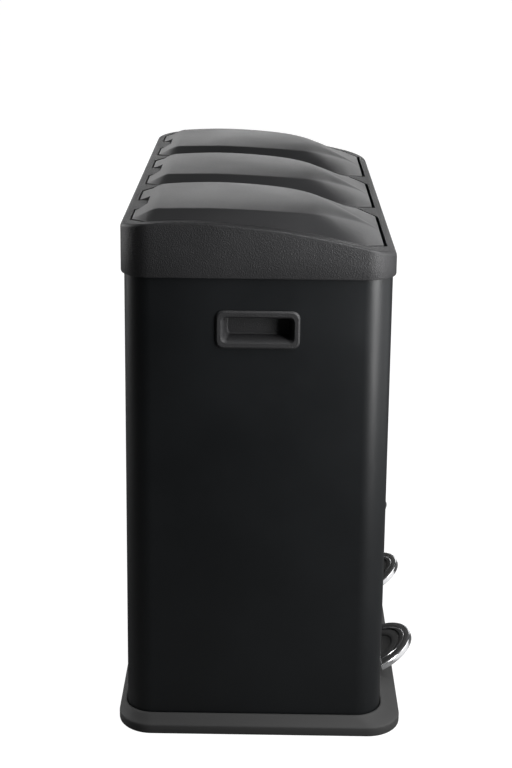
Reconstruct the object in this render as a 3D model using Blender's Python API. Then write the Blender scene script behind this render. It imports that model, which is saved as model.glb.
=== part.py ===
"""Step-on sorting bin with three compartments, modelled as separate pieces.

Metres, +Z up. The pedals are on the -Y side, the lid hinges on the +Y side.
The floor is z = 0 and the origin is the centre of the footprint. Lengths
inside the functions are in the bin's own plan, whose zero is the centre of
the body; the empty "bin_centre" carries that plan to its place.
"""
import bisect
import math

import bmesh
import bpy
from mathutils import Matrix, Vector

# ---- Driving dimensions -------------------------------------------------------------
SIDES = {"left": -1, "middle": 0, "right": 1}
PITCH = 0.2062              # from one compartment to the next
BIN_Y = 0.0175              # body centre, behind the middle of the footprint
GAP = 0.0003                # between two pieces that touch

BODY_HALF = (0.316, 0.152)  # outside of the sheet-metal body, half sizes in plan
BODY_CORNER = 0.0315
BODY_LOW, BODY_TOP = 0.0125, 0.5755
SHEET = 0.001

BASE_HALF = (0.3298, 0.1688)
BASE_CENTRE_Y = -0.0068     # the skirt stands out further under the pedals
BASE_CORNER = 0.041
BASE_UNDERSIDE = 0.0008
BASE_FLOOR = 0.0045
LEDGE_Z = 0.012             # the body stands on this ledge of the base

COLLAR_HALF = (0.320, 0.1557)
COLLAR_CORNER = 0.0345
COLLAR_WALL = 0.0025
COLLAR_LOW = 0.557
CROWN_Y, CROWN_Z = 0.062, 0.6206    # highest line of the collar's arched top
DECK_LOW, DECK_TOP = 0.562, 0.565   # ledge inside the collar that carries the buckets

LID_HALF_X = 0.099
LID_FRONT, LID_REAR = -0.141, 0.143
LID_STATIONS = (              # y, half width of the raised field, height of its crease, rise of its crown
    (-0.1410, 0.0040, 0.5886, 0.0), (-0.1350, 0.0060, 0.5920, 0.0004), (-0.1250, 0.0100, 0.5970, 0.0010),
    (-0.1100, 0.0200, 0.6035, 0.0026), (-0.0950, 0.0330, 0.6093, 0.0044), (-0.0825, 0.0450, 0.6140, 0.0054),
    (-0.0700, 0.0545, 0.6177, 0.0058), (-0.0450, 0.0675, 0.6220, 0.0052), (-0.0200, 0.0735, 0.6246, 0.0044),
    (0.0050, 0.0760, 0.6264, 0.0040), (0.0300, 0.0770, 0.6277, 0.0034), (0.0550, 0.0768, 0.6284, 0.0030),
    (0.0800, 0.0758, 0.6281, 0.0025), (0.1050, 0.0735, 0.6272, 0.0020), (0.1130, 0.0722, 0.6268, 0.0018),
)
LID_SKIN = 0.0025
LID_SKIRT = 0.009
PIN_Y, PIN_Z, PIN_R = 0.1375, 0.6125, 0.0015

AXLE_Y, AXLE_Z, AXLE_R = -0.030, 0.034, 0.003
ROD_Y, ROD_Z, ROD_R = 0.1143, 0.0202, 0.0020    # lower eye of the push rod
LUG_Y, LUG_Z = 0.1175, 0.6015                   # upper end, in the slot of the lid's lug
ROD_SIDE = -0.019                               # the rod's long run stands beside its eyes

PEDAL_TILT = math.radians(25.8)
PEDAL_CENTRE = (-0.1479, 0.0501)                # centre of the half-round plate, y and z
PEDAL_HALF = (0.0517, 0.0507)
PEDAL_SKIRT = 0.0068
LEVER_WIDTH, LEVER_THICK = 0.024, 0.003

BUCKET_Y = -0.018
BUCKET_FLOOR = 0.098
HANDLE_Z = 0.4975


# ---- Materials ----------------------------------------------------------------------
def make_material(name, colour, roughness, metallic=0.0):
    material = bpy.data.materials.new(name)
    material.use_nodes = True
    shader = material.node_tree.nodes["Principled BSDF"]
    shader.inputs["Base Color"].default_value = (*colour, 1.0)
    shader.inputs["Roughness"].default_value = roughness
    shader.inputs["Metallic"].default_value = metallic
    return material


def make_materials():
    return {
        "body": make_material("black_sheet", (0.030, 0.031, 0.032), 0.38, 0.2),
        "plastic": make_material("grained_plastic", (0.035, 0.035, 0.036), 0.6),
        "lid": make_material("lid_plastic", (0.045, 0.045, 0.047), 0.42),
        "chrome": make_material("chrome", (0.80, 0.80, 0.81), 0.08, 1.0),
        "rubber": make_material("rubber", (0.018, 0.018, 0.018), 0.8),
        "steel": make_material("zinc_steel", (0.55, 0.55, 0.56), 0.35, 1.0),
        "bucket": make_material("bucket_plastic", (0.11, 0.11, 0.115), 0.5),
    }


# ---- Outlines, as lists of points ---------------------------------------------------
def rounded_rect(half_x, half_y, radius, centre=(0.0, 0.0), steps=6):
    """Corners of a rectangle rounded by arcs, counter-clockwise."""
    points = []
    for turn, (sx, sy) in enumerate(((1, 1), (-1, 1), (-1, -1), (1, -1))):
        cx = centre[0] + sx * (half_x - radius)
        cy = centre[1] + sy * (half_y - radius)
        for step in range(steps + 1):
            angle = (turn + step / steps) * math.pi / 2
            points.append((cx + radius * math.cos(angle), cy + radius * math.sin(angle)))
    return points


def half_oval(half_u, half_v, rear_v, steps=20):
    """Front half of an oval, cut straight across at rear_v."""
    start = math.asin(rear_v / half_v)
    span = math.pi - 2 * start
    angles = [start + span * step / steps for step in range(steps + 1)]
    return [(half_u * math.cos(a), half_v * math.sin(a)) for a in angles]


def bent_strip(points, thickness):
    """Outline of a strip of even thickness along a bent centre line."""
    left, right = [], []
    for index, point in enumerate(points):
        before = Vector(points[max(index - 1, 0)])
        after = Vector(points[min(index + 1, len(points) - 1)])
        along = (after - before).normalized()
        across = Vector((-along.y, along.x)) * thickness / 2
        left.append(tuple(Vector(point) + across))
        right.append(tuple(Vector(point) - across))
    return left + right[::-1]


def collar_top(y):
    """Height of the arched top: nearly straight slope from the crown line, steeper at both ends."""
    ahead = CROWN_Y - y
    slope = 0.100 * (math.hypot(ahead, 0.015) + ahead) / 2
    front = 0.208 * max(-0.020 - y, 0.0) ** 1.35
    rear = 0.95 * max(y - 0.072, 0.0) ** 2
    return CROWN_Z - slope - front - rear


def opening_outline(x, half_x, front, rear, front_cut, rear_cut, tab):
    """Rectangle with cut corners and, at the rear, a trapezoid tab standing into it."""
    (fx, fy), (rx, ry) = front_cut, rear_cut
    tab_rear, tab_front, tab_depth = tab
    return [
        (x - half_x, front + fy), (x - half_x + fx, front),
        (x + half_x - fx, front), (x + half_x, front + fy),
        (x + half_x, rear - ry), (x + half_x - rx, rear),
        (x + tab_rear, rear), (x + tab_front, rear - tab_depth),
        (x - tab_front, rear - tab_depth), (x - tab_rear, rear),
        (x - half_x + rx, rear), (x - half_x, rear - ry),
    ]


# ---- Meshes and objects -------------------------------------------------------------
class Builder:
    """Adds objects under the bin's centre, each with its origin at a pivot."""

    def __init__(self):
        self.centre = bpy.data.objects.new("bin_centre", None)
        self.centre.location = (0.0, BIN_Y, 0.0)
        bpy.context.scene.collection.objects.link(self.centre)
        self.materials = make_materials()

    def add_mesh(self, name, bm, material=None, pivot=(0.0, 0.0, 0.0), smooth=True):
        bmesh.ops.remove_doubles(bm, verts=bm.verts, dist=1e-6)
        bmesh.ops.recalc_face_normals(bm, faces=bm.faces)
        mesh = bpy.data.meshes.new(name)
        bm.to_mesh(mesh)
        bm.free()
        mesh.transform(Matrix.Translation(-Vector(pivot)))
        if smooth:
            mesh.shade_smooth()
            mesh.set_sharp_from_angle(angle=math.radians(35))
        return self.add_object(name, mesh, material, pivot)

    def add_object(self, name, data, material, pivot):
        thing = bpy.data.objects.new(name, data)
        thing.location = pivot
        thing.parent = self.centre
        bpy.context.scene.collection.objects.link(thing)
        if material is None:
            thing.hide_render = True
            thing.display_type = "WIRE"
        else:
            data.materials.append(self.materials[material])
        return thing

    def boolean(self, target, tool_bm, operation, label):
        tool = self.add_mesh(f"{target.name}_{label}", tool_bm)
        modifier = target.modifiers.new(label, "BOOLEAN")
        modifier.operation = operation
        modifier.solver = "EXACT"
        modifier.object = tool
        return tool


def loft(loops, bm=None, ring=False):
    """Skin a run of point loops of equal length; capped ends, or closed into a ring."""
    bm = bm or bmesh.new()
    rows = [[bm.verts.new(point) for point in loop] for loop in loops]
    pairs = list(zip(rows, rows[1:]))
    if ring:
        pairs.append((rows[-1], rows[0]))
    else:
        bm.faces.new(rows[0][::-1])
        bm.faces.new(rows[-1])
    for low, high in pairs:
        count = len(low)
        for index in range(count):
            following = (index + 1) % count
            bm.faces.new((low[index], low[following], high[following], high[index]))
    return bm


def level(outline, z):
    return [(x, y, z) for x, y in outline]


def prism_z(outline, low, high, bm=None):
    return loft([level(outline, low), level(outline, high)], bm)


def prism_x(outline, low, high, bm=None):
    """Extrude a (y, z) outline along X."""
    return loft([[(x, y, z) for y, z in outline] for x in (low, high)], bm)


def prism_y(outline, low, high, bm=None):
    """Extrude an (x, z) outline along Y."""
    return loft([[(x, y, z) for x, z in outline] for y in (low, high)], bm)


def circle(radius, centre, sides):
    turn = 2 * math.pi / sides
    return [
        (centre[0] + radius * math.cos(turn * k), centre[1] + radius * math.sin(turn * k))
        for k in range(sides)
    ]


def rod_x(radius, x_range, centre, sides=20, bm=None):
    return prism_x(circle(radius, centre, sides), *x_range, bm)


def rod_z(radius, z_range, centre, sides=20, bm=None):
    return prism_z(circle(radius, centre, sides), *z_range, bm)


def box(low, high, bm=None):
    outline = [(low[0], low[1]), (high[0], low[1]), (high[0], high[1]), (low[0], high[1])]
    return prism_z(outline, low[2], high[2], bm)


def body_outline(grow):
    return rounded_rect(BODY_HALF[0] + grow, BODY_HALF[1] + grow, BODY_CORNER + grow)


def collar_outline(grow):
    return rounded_rect(COLLAR_HALF[0] + grow, COLLAR_HALF[1] + grow, COLLAR_CORNER + grow)


def foot_places():
    return [(x, y) for x in (-0.27, 0.0, 0.27) for y in (-0.125, 0.125)]


def screw_places():
    """Two screws through each pivot bracket, as (name, x, y)."""
    places = []
    for side, turn in SIDES.items():
        for end, offset in (("a", -0.0235), ("b", 0.0235)):
            places.append((f"{side}_{end}", turn * PITCH + offset, AXLE_Y))
    return places


# ---- Casing -------------------------------------------------------------------------
def add_base(builder):
    def base_outline(shrink):
        half_x, half_y = BASE_HALF[0] - shrink, BASE_HALF[1] - shrink
        return rounded_rect(half_x, half_y, BASE_CORNER - shrink, (0.0, BASE_CENTRE_Y))

    loops = [
        level(base_outline(0.0014), BASE_UNDERSIDE),
        level(base_outline(0.0), 0.0024),
        level(base_outline(0.0), 0.0115),
        level(base_outline(0.0012), 0.0128),
        level(body_outline(0.0035), 0.0212),
        level(body_outline(0.0012), 0.0222),
        level(body_outline(0.0008), 0.0212),
        level(body_outline(0.0008), LEDGE_Z),
        level(body_outline(-0.006), LEDGE_Z),
        level(body_outline(-0.006), BASE_FLOOR),
    ]
    base = builder.add_mesh("base_tray", loft(loops), "plastic")
    pockets = bmesh.new()
    for place in foot_places():
        rod_z(0.0095, (-0.001, 0.0028), place, 20, pockets)
    builder.boolean(base, pockets, "DIFFERENCE", "foot_pockets")
    passages = bmesh.new()
    for turn in SIDES.values():
        x = turn * PITCH
        box((x - 0.0155, -0.1625, 0.0172), (x + 0.0155, -0.1500, 0.0300), passages)
    builder.boolean(base, passages, "DIFFERENCE", "lever_passages")
    pilots = bmesh.new()
    for _, x, y in screw_places():
        rod_z(0.0021, (0.0016, 0.007), (x, y), 12, pilots)
    builder.boolean(base, pilots, "DIFFERENCE", "screw_holes")


def add_feet(builder):
    for number, place in enumerate(foot_places(), 1):
        foot = rod_z(0.009, (0.0, 0.0025), place, 20)
        builder.add_mesh(f"rubber_foot_{number}", foot, "rubber")


def add_body(builder):
    inner, outer = body_outline(-SHEET), body_outline(0.0)
    loops = [level(outer, BODY_LOW), level(outer, BODY_TOP), level(inner, BODY_TOP), level(inner, BODY_LOW)]
    body = builder.add_mesh("body_shell", loft(loops, ring=True), "body")
    slots = bmesh.new()
    for turn in SIDES.values():
        x = turn * PITCH
        box((x - 0.0155, -0.160, 0.0172), (x + 0.0155, -0.140, 0.0510), slots)
    builder.boolean(body, slots, "DIFFERENCE", "pedal_slots")
    holes = bmesh.new()
    outline = rounded_rect(0.042, 0.016, 0.006, (0.0, HANDLE_Z), 3)
    for low in (-0.33, 0.30):
        prism_x(outline, low, low + 0.03, holes)
    builder.boolean(body, holes, "DIFFERENCE", "handle_holes")


def add_collar(builder):
    blank = [
        level(collar_outline(-0.0012), COLLAR_LOW),
        level(collar_outline(0.0), COLLAR_LOW + 0.0015),
        level(collar_outline(0.0), 0.660),
    ]
    collar = builder.add_mesh("collar_frame", loft(blank), "plastic")

    stations = [-0.1435 + 0.2915 * k / 26 for k in range(27)]
    rise = [(y, collar_top(y)) for y in stations]
    front = [(-0.158, 0.5690), (-0.1557, 0.5755), (-0.1546, 0.5800), (-0.1517, 0.5838), (-0.1475, 0.5863)]
    rear = [(0.1505, 0.6142), (0.1535, 0.6118), (0.1554, 0.6080), (0.158, 0.6020)]
    above = front + rise + rear + [(0.158, 0.70), (-0.158, 0.70)]
    builder.boolean(collar, prism_x(above, -0.33, 0.33), "DIFFERENCE", "arched_top")

    inside = collar_outline(-COLLAR_WALL)
    builder.boolean(collar, prism_z(inside, 0.550, DECK_LOW), "DIFFERENCE", "hollow_below")
    wall = rounded_rect(0.3092, 0.1475, 0.028)
    pocket = [level(inside, 0.5605), level(inside, 0.5765), level(wall, 0.5765), level(wall, 0.5605)]
    builder.boolean(collar, loft(pocket, ring=True), "DIFFERENCE", "body_groove")

    openings, mouths, bores = bmesh.new(), bmesh.new(), bmesh.new()
    for turn in SIDES.values():
        x = turn * PITCH
        outline = opening_outline(
            x, LID_HALF_X + 0.0016, LID_FRONT - 0.004, LID_REAR + 0.002,
            (0.0245, 0.0230), (0.0183, 0.0158), (0.0260, 0.0185, 0.0125),
        )
        prism_z(outline, DECK_TOP, 0.70, openings)
        mouth = [
            (x - 0.0925, -0.119), (x - 0.0745, -0.137), (x + 0.0745, -0.137), (x + 0.0925, -0.119),
            (x + 0.0925, 0.101), (x + 0.004, 0.101), (x + 0.004, 0.130), (x - 0.025, 0.130),
            (x - 0.025, 0.101), (x - 0.0925, 0.101),
        ]
        prism_z(mouth, 0.555, 0.570, mouths)
        rod_x(PIN_R + GAP, (x - 0.035, x + 0.035), (PIN_Y, PIN_Z), 16, bores)
    builder.boolean(collar, openings, "DIFFERENCE", "lid_openings")
    builder.boolean(collar, mouths, "DIFFERENCE", "bucket_mouths")
    builder.boolean(collar, bores, "DIFFERENCE", "hinge_bores")


def add_side_handles(builder):
    """Moulded grip cup with a flange, sunk into each end of the body."""
    def ring_at(half_y, half_z, radius, depth, side):
        x = side * (BODY_HALF[0] - depth)
        return [(x, y, z) for y, z in rounded_rect(half_y, half_z, radius, (0.0, HANDLE_Z), 5)]

    sections = [
        (0.0350, 0.0100, 0.005, 0.0178),
        (0.0395, 0.0135, 0.005, 0.0010),
        (0.0415, 0.0155, 0.006, -0.0025),
        (0.0465, 0.0212, 0.008, -0.0025),
        (0.0475, 0.0222, 0.009, -0.0012),
        (0.0475, 0.0222, 0.009, -GAP),
        (0.0416, 0.0156, 0.006, -GAP),
        (0.0370, 0.0120, 0.006, 0.0198),
    ]
    for name, side in (("left", -1), ("right", 1)):
        loops = [ring_at(*section, side) for section in sections]
        builder.add_mesh(f"side_handle_{name}", loft(loops), "plastic")


def add_bucket(builder, side, x):
    def ring_at(half_x, half_y, radius, z):
        return level(rounded_rect(half_x, half_y, radius, (x, BUCKET_Y)), z)

    sections = [
        (0.0820, 0.1080, 0.024, BUCKET_FLOOR),
        (0.0900, 0.1165, 0.028, DECK_TOP + GAP),
        (0.0970, 0.1235, 0.034, DECK_TOP + GAP),
        (0.0970, 0.1235, 0.034, DECK_TOP + GAP + 0.003),
        (0.0880, 0.1145, 0.026, DECK_TOP + GAP + 0.003),
        (0.0802, 0.1062, 0.022, BUCKET_FLOOR + 0.0025),
    ]
    bucket = loft([ring_at(*section) for section in sections])
    builder.add_mesh(f"inner_bucket_{side}", bucket, "bucket")


# ---- Lids ---------------------------------------------------------------------------
LID_ROWS = (-0.141, -0.1385, -0.130, -0.120, -0.110, -0.099, -0.085, -0.070, -0.050, -0.030, -0.005,
            0.020, 0.055, 0.070, 0.090, 0.105, 0.115, 0.1245, 0.1345, 0.1405, 0.143)
LID_COLUMNS = (-1.0, -0.975, -0.88, -0.775, -0.6, -0.4, -0.2, 0.0, 0.2, 0.4, 0.6, 0.775, 0.88, 0.975, 1.0)


def ease(value):
    value = min(max(value, 0.0), 1.0)
    return value * value * (3 - 2 * value)


def lid_half_width(y):
    """Half width of the lid at y, less where its corners are cut."""
    front_cut = max(0.0, 1 - (y - LID_FRONT) / 0.021) * 0.024
    rear_cut = max(0.0, 1 - (LID_REAR - y) / 0.0185) * 0.0215
    return LID_HALF_X - max(front_cut, rear_cut)


def through_stations(column, y):
    """Smooth curve through one column of the lid's stations: cubic Hermite, finite-difference slopes."""
    last = len(LID_STATIONS) - 1
    i = min(max(bisect.bisect_left([row[0] for row in LID_STATIONS], y) - 1, 0), last - 1)

    def place(k):
        return LID_STATIONS[k][0], LID_STATIONS[k][column]

    def slope(k):
        if k in (0, last):
            (y0, v0), (y1, v1) = place(max(k - 1, 0)), place(min(k + 1, last))
            return (v1 - v0) / (y1 - y0)
        (y0, v0), (y1, v1), (y2, v2) = place(k - 1), place(k), place(k + 1)
        before, after = y1 - y0, y2 - y1
        return ((v1 - v0) / before * after + (v2 - v1) / after * before) / (before + after)

    (ya, va), (yb, vb) = place(i), place(i + 1)
    gap = yb - ya
    t = (y - ya) / gap
    start = (1 + 2 * t) * (1 - t) ** 2 * va + t * (1 - t) ** 2 * gap * slope(i)
    return start + t * t * (3 - 2 * t) * vb - t * t * (1 - t) * gap * slope(i + 1)


def lid_height(x, y):
    """Top surface: a crowned field between two creases, and slopes that fall from them to the side edges.

    To the front the slopes bend over to meet the field without a crease, and at the rear the
    whole rise fades out over a band.
    """
    edge, rim = lid_half_width(y), collar_top(y)
    at = min(max(y, LID_STATIONS[0][0]), LID_STATIONS[-1][0])
    half, height, crown = (through_stations(column, at) for column in (1, 2, 3))
    share = min(max((edge - abs(x)) / (edge - half), 0.0), 1.0)
    bend = ease((-0.050 - y) / 0.050)
    rise = (1 - bend) * share + bend * math.sin(share * math.pi / 2)
    top = (height - rim) * rise + crown * max(1 - (x / half) ** 2, 0.0) ** (1 + bend)
    return rim + top * ease((LID_REAR - y) / 0.030)


def lid_grid(x_centre):
    """Closed skin over a grid of rows and columns, with a deeper skirt in its outermost strip."""
    bm = bmesh.new()
    top, under = [], []
    last_row, last_column = len(LID_ROWS) - 1, len(LID_COLUMNS) - 1
    for row, y in enumerate(LID_ROWS):
        top.append([])
        under.append([])
        for column, share in enumerate(LID_COLUMNS):
            x = share * lid_half_width(y)
            z = lid_height(x, y)
            border = row in (0, last_row) or column in (0, last_column)
            depth = LID_SKIRT if border else LID_SKIN
            top[-1].append(bm.verts.new((x_centre + x, y, z)))
            under[-1].append(bm.verts.new((x_centre + x, y, z - depth)))
    for row in range(last_row):
        for column in range(last_column):
            for grid in (top, under):
                a, b = grid[row][column], grid[row][column + 1]
                c, d = grid[row + 1][column + 1], grid[row + 1][column]
                bm.faces.new((a, b, c, d))
    border = [(0, c) for c in range(last_column)] + [(r, last_column) for r in range(last_row)]
    border += [(last_row, c) for c in range(last_column, 0, -1)] + [(r, 0) for r in range(last_row, 0, -1)]
    for (r0, c0), (r1, c1) in zip(border, border[1:] + border[:1]):
        bm.faces.new((top[r0][c0], top[r1][c1], under[r1][c1], under[r0][c0]))
    return bm


def add_lid(builder, side, x):
    pivot = (x, PIN_Y, PIN_Z)
    lid = builder.add_mesh(f"lid_{side}", lid_grid(x), "lid", pivot)
    notch = [
        (x - 0.0308, LID_REAR + 0.0015), (x + 0.0308, LID_REAR + 0.0015),
        (x + 0.0308, LID_REAR + 0.001), (x + 0.0208, 0.1300),
        (x - 0.0208, 0.1300), (x - 0.0308, LID_REAR + 0.001),
    ]
    builder.boolean(lid, prism_z(notch, 0.590, 0.640), "DIFFERENCE", "tab_notch")
    knuckles = bmesh.new()
    for hand in (-1, 1):
        span = sorted((x + hand * 0.0305, x + hand * 0.0440))
        rod_x(0.0038, span, (PIN_Y, PIN_Z), 16, knuckles)
    builder.boolean(lid, knuckles, "UNION", "knuckles")
    lug = [(0.098, 0.6283), (0.1095, 0.5950), (0.1280, 0.5950), (0.1285, 0.6218), (0.120, 0.6264)]
    builder.boolean(lid, prism_x(lug, x - 0.011, x - 0.007), "UNION", "push_lug")
    pin_bore = rod_x(PIN_R + GAP, (x - 0.05, x + 0.05), (PIN_Y, PIN_Z), 16)
    builder.boolean(lid, pin_bore, "DIFFERENCE", "pin_bore")
    slot = rounded_rect(0.0052, 0.0044, 0.0024, (LUG_Y + 0.0023, LUG_Z + 0.0015), 4)
    builder.boolean(lid, prism_x(slot, x - 0.013, x - 0.005), "DIFFERENCE", "lug_slot")


def add_hinge_pin(builder, side, x):
    pin = rod_x(PIN_R, (x - 0.0445, x + 0.0445), (PIN_Y, PIN_Z), 16)
    builder.add_mesh(f"lid_hinge_pin_{side}", pin, "steel")


# ---- Pedal mechanism ----------------------------------------------------------------
def on_plate(points, x, w):
    """Carry (u, v) points of the pedal plate, at height w over its top plane, into the bin."""
    cos_t, sin_t = math.cos(PEDAL_TILT), math.sin(PEDAL_TILT)
    cy, cz = PEDAL_CENTRE
    return [(x + u, cy - v * cos_t + w * sin_t, cz + v * sin_t + w * cos_t) for u, v in points]


def plate_loft(x, sections, ring=False):
    """Loft half ovals given as (half_u, half_v, rear_v, height)."""
    return loft([on_plate(half_oval(u, v, rear), x, w) for u, v, rear, w in sections], ring=ring)


def plate_prism(x, outline, low, high):
    return loft([on_plate(outline, x, low), on_plate(outline, x, high)])


def arc_band(half_u, width, rear_v):
    """Outline of an open band of even width along the pedal's half oval."""
    outer = half_oval(half_u, half_u + 0.005, rear_v)
    inner = half_oval(half_u - width, half_u + 0.005 - width, rear_v)
    return outer + inner[::-1]


def add_pedal_plate(builder, side, x):
    pivot = (x, AXLE_Y, AXLE_Z)
    half_u, half_v = PEDAL_HALF
    rim_sections = [
        (half_u - 0.0016, half_v - 0.0016, 0.0089, -0.0047),
        (half_u - 0.0016, half_v - 0.0016, 0.0089, -PEDAL_SKIRT),
        (half_u, half_v, 0.0073, -PEDAL_SKIRT),
        (half_u, half_v, 0.0073, -0.0010),
        (half_u - 0.0010, half_v - 0.0010, 0.0083, 0.0),
        (half_u - 0.0022, half_v - 0.0022, 0.0095, 0.0),
        (half_u - 0.0022, half_v - 0.0022, 0.0095, -0.0032),
    ]
    rim = builder.add_mesh(f"pedal_rim_{side}", plate_loft(x, rim_sections), "chrome", pivot)
    gate = [(-0.0125, 0.0), (0.0125, 0.0), (0.0125, 0.0125), (-0.0125, 0.0125)]
    gate_solid = loft([on_plate(gate, x, -0.0080), on_plate(gate, x, -0.0046)])
    builder.boolean(rim, gate_solid, "DIFFERENCE", "lever_gate")

    pad_sections = [
        (half_u - 0.0025, half_v - 0.0025, 0.0098, -0.0029),
        (half_u - 0.0025, half_v - 0.0025, 0.0098, -0.0002),
        (half_u - 0.0033, half_v - 0.0033, 0.0106, 0.0004),
    ]
    pad = builder.add_mesh(f"pedal_pad_{side}", plate_loft(x, pad_sections), "rubber", pivot)
    groove = plate_prism(x, arc_band(0.0389, 0.0027, 0.0080), -0.0016, 0.0020)
    builder.boolean(pad, groove, "DIFFERENCE", "ring_groove")
    recess = plate_prism(x, half_oval(0.0268, 0.0338, 0.0080), -0.0020, 0.0020)
    builder.boolean(pad, recess, "DIFFERENCE", "recess")

    inlay = plate_prism(x, arc_band(0.0385, 0.0019, 0.0112), -0.0013, 0.0008)
    builder.add_mesh(f"pedal_ring_{side}", inlay, "chrome", pivot)


def add_lever(builder, side, x):
    under_plate = [on_plate([(0.0, v)], x, -0.0065)[0][1:] for v in (0.036, 0.0)]
    centre_line = under_plate + [(-0.137, 0.0397), (-0.120, 0.0392), (AXLE_Y, 0.0392),
                                 (0.015, 0.0385), (0.098, 0.0245), (ROD_Y, 0.0240)]
    half = LEVER_WIDTH / 2
    span = (x - half, x + half)
    strip = prism_x(bent_strip(centre_line, LEVER_THICK), *span)
    lever = builder.add_mesh(f"pedal_lever_{side}", strip, "steel", (x, AXLE_Y, AXLE_Z))
    eyes = rod_x(0.0065, span, (AXLE_Y, AXLE_Z))
    rod_x(0.0055, span, (ROD_Y, ROD_Z), 20, eyes)
    builder.boolean(lever, eyes, "UNION", "rolled_eyes")
    wide = (x - half - 0.002, x + half + 0.002)
    bores = rod_x(AXLE_R + GAP, wide, (AXLE_Y, AXLE_Z))
    rod_x(ROD_R + GAP, wide, (ROD_Y, ROD_Z), 20, bores)
    builder.boolean(lever, bores, "DIFFERENCE", "eye_bores")


def add_bracket(builder, side, x):
    low, plate = BASE_FLOOR + GAP, BASE_FLOOR + GAP + 0.002
    ear_in, ear_out, ear_top, foot = 0.0146, 0.0166, 0.0435, 0.030
    hat = [
        (-foot, low), (foot, low), (foot, plate), (ear_out, plate), (ear_out, ear_top), (ear_in, ear_top),
        (ear_in, plate), (-ear_in, plate), (-ear_in, ear_top), (-ear_out, ear_top), (-ear_out, plate),
        (-foot, plate),
    ]
    solid = prism_y([(x + dx, z) for dx, z in hat], AXLE_Y - 0.012, AXLE_Y + 0.012)
    bracket = builder.add_mesh(f"pivot_bracket_{side}", solid, "steel")
    bore = rod_x(AXLE_R + GAP, (x - 0.025, x + 0.025), (AXLE_Y, AXLE_Z))
    builder.boolean(bracket, bore, "DIFFERENCE", "axle_bore")
    holes = bmesh.new()
    for offset in (-0.0235, 0.0235):
        rod_z(0.0021, (0.003, 0.009), (x + offset, AXLE_Y), 12, holes)
    builder.boolean(bracket, holes, "DIFFERENCE", "screw_holes")


def add_axle(builder, side, x):
    """Headed pin through the bracket's ears, held by a push-on clip at its plain end."""
    def ring_at(radius, at):
        return [(x + at, y, z) for y, z in circle(radius, (AXLE_Y, AXLE_Z), 20)]

    sections = ((AXLE_R, -0.0190), (AXLE_R, 0.0169), (0.0050, 0.0169), (0.0050, 0.0187))
    builder.add_mesh(f"pedal_axle_{side}", loft([ring_at(*s) for s in sections]), "steel")
    clip = ((AXLE_R + GAP, -0.0182), (0.0055, -0.0182), (0.0055, -0.0169), (AXLE_R + GAP, -0.0169))
    builder.add_mesh(f"axle_clip_{side}", loft([ring_at(*s) for s in clip], ring=True), "steel")


def add_bracket_screws(builder):
    head_low = BASE_FLOOR + 2 * GAP + 0.002
    profile = ((0.0017, 0.0021), (0.0017, head_low), (0.0038, head_low),
               (0.0038, head_low + 0.0012), (0.0026, head_low + 0.0021))
    for name, x, y in screw_places():
        loops = [level(circle(radius, (x, y), 16), z) for radius, z in profile]
        builder.add_mesh(f"bracket_screw_{name}", loft(loops), "steel")


def bend(corner, arriving, leaving, radius, steps=4):
    """Points of a round bend at a square corner of a wire."""
    corner, arriving, leaving = Vector(corner), Vector(arriving), Vector(leaving)
    centre = corner - arriving * radius + leaving * radius
    points = []
    for step in range(steps + 1):
        angle = step / steps * math.pi / 2
        points.append(centre - leaving * radius * math.cos(angle) + arriving * radius * math.sin(angle))
    return points


def add_push_rod(builder, side, x):
    """Bent wire from the lever's rear eye up to the lid's lug, square ends pointing the same way."""
    pivot = Vector((x, ROD_Y, ROD_Z))
    foot, head = Vector((x + ROD_SIDE, ROD_Y, ROD_Z)), Vector((x + ROD_SIDE, LUG_Y, LUG_Z))
    rise = (head - foot).normalized()
    route = [Vector((x + 0.0145, ROD_Y, ROD_Z))]
    route += bend(foot, (-1, 0, 0), rise, 0.005)
    route += bend(head, rise, (1, 0, 0), 0.005)
    route.append(Vector((x - 0.003, LUG_Y, LUG_Z)))
    curve = bpy.data.curves.new(f"push_rod_{side}", "CURVE")
    curve.dimensions = "3D"
    curve.bevel_depth = ROD_R
    curve.bevel_resolution = 3
    curve.use_fill_caps = True
    spline = curve.splines.new("POLY")
    spline.points.add(len(route) - 1)
    for point, place in zip(spline.points, route):
        point.co = (*(place - pivot), 1.0)
    builder.add_object(f"push_rod_{side}", curve, "steel", pivot)


def clear_scene():
    for thing in list(bpy.data.objects):
        bpy.data.objects.remove(thing, do_unlink=True)


def main():
    clear_scene()
    builder = Builder()
    add_base(builder)
    add_feet(builder)
    add_body(builder)
    add_collar(builder)
    add_side_handles(builder)
    add_bracket_screws(builder)
    for side, turn in SIDES.items():
        x = turn * PITCH
        add_bucket(builder, side, x)
        add_lid(builder, side, x)
        add_hinge_pin(builder, side, x)
        add_pedal_plate(builder, side, x)
        add_lever(builder, side, x)
        add_bracket(builder, side, x)
        add_axle(builder, side, x)
        add_push_rod(builder, side, x)


main()
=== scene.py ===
"""Looks of the three-compartment step-on sorting bin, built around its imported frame.

Every new piece is a surface worked out with numpy in the bin's own plan, whose zero is the
centre of the body, and is then carried to its place. Lengths are in metres, +Z is up, the
pedals are on the -Y side and the lids are hinged on the +Y side.
"""
import math

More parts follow.
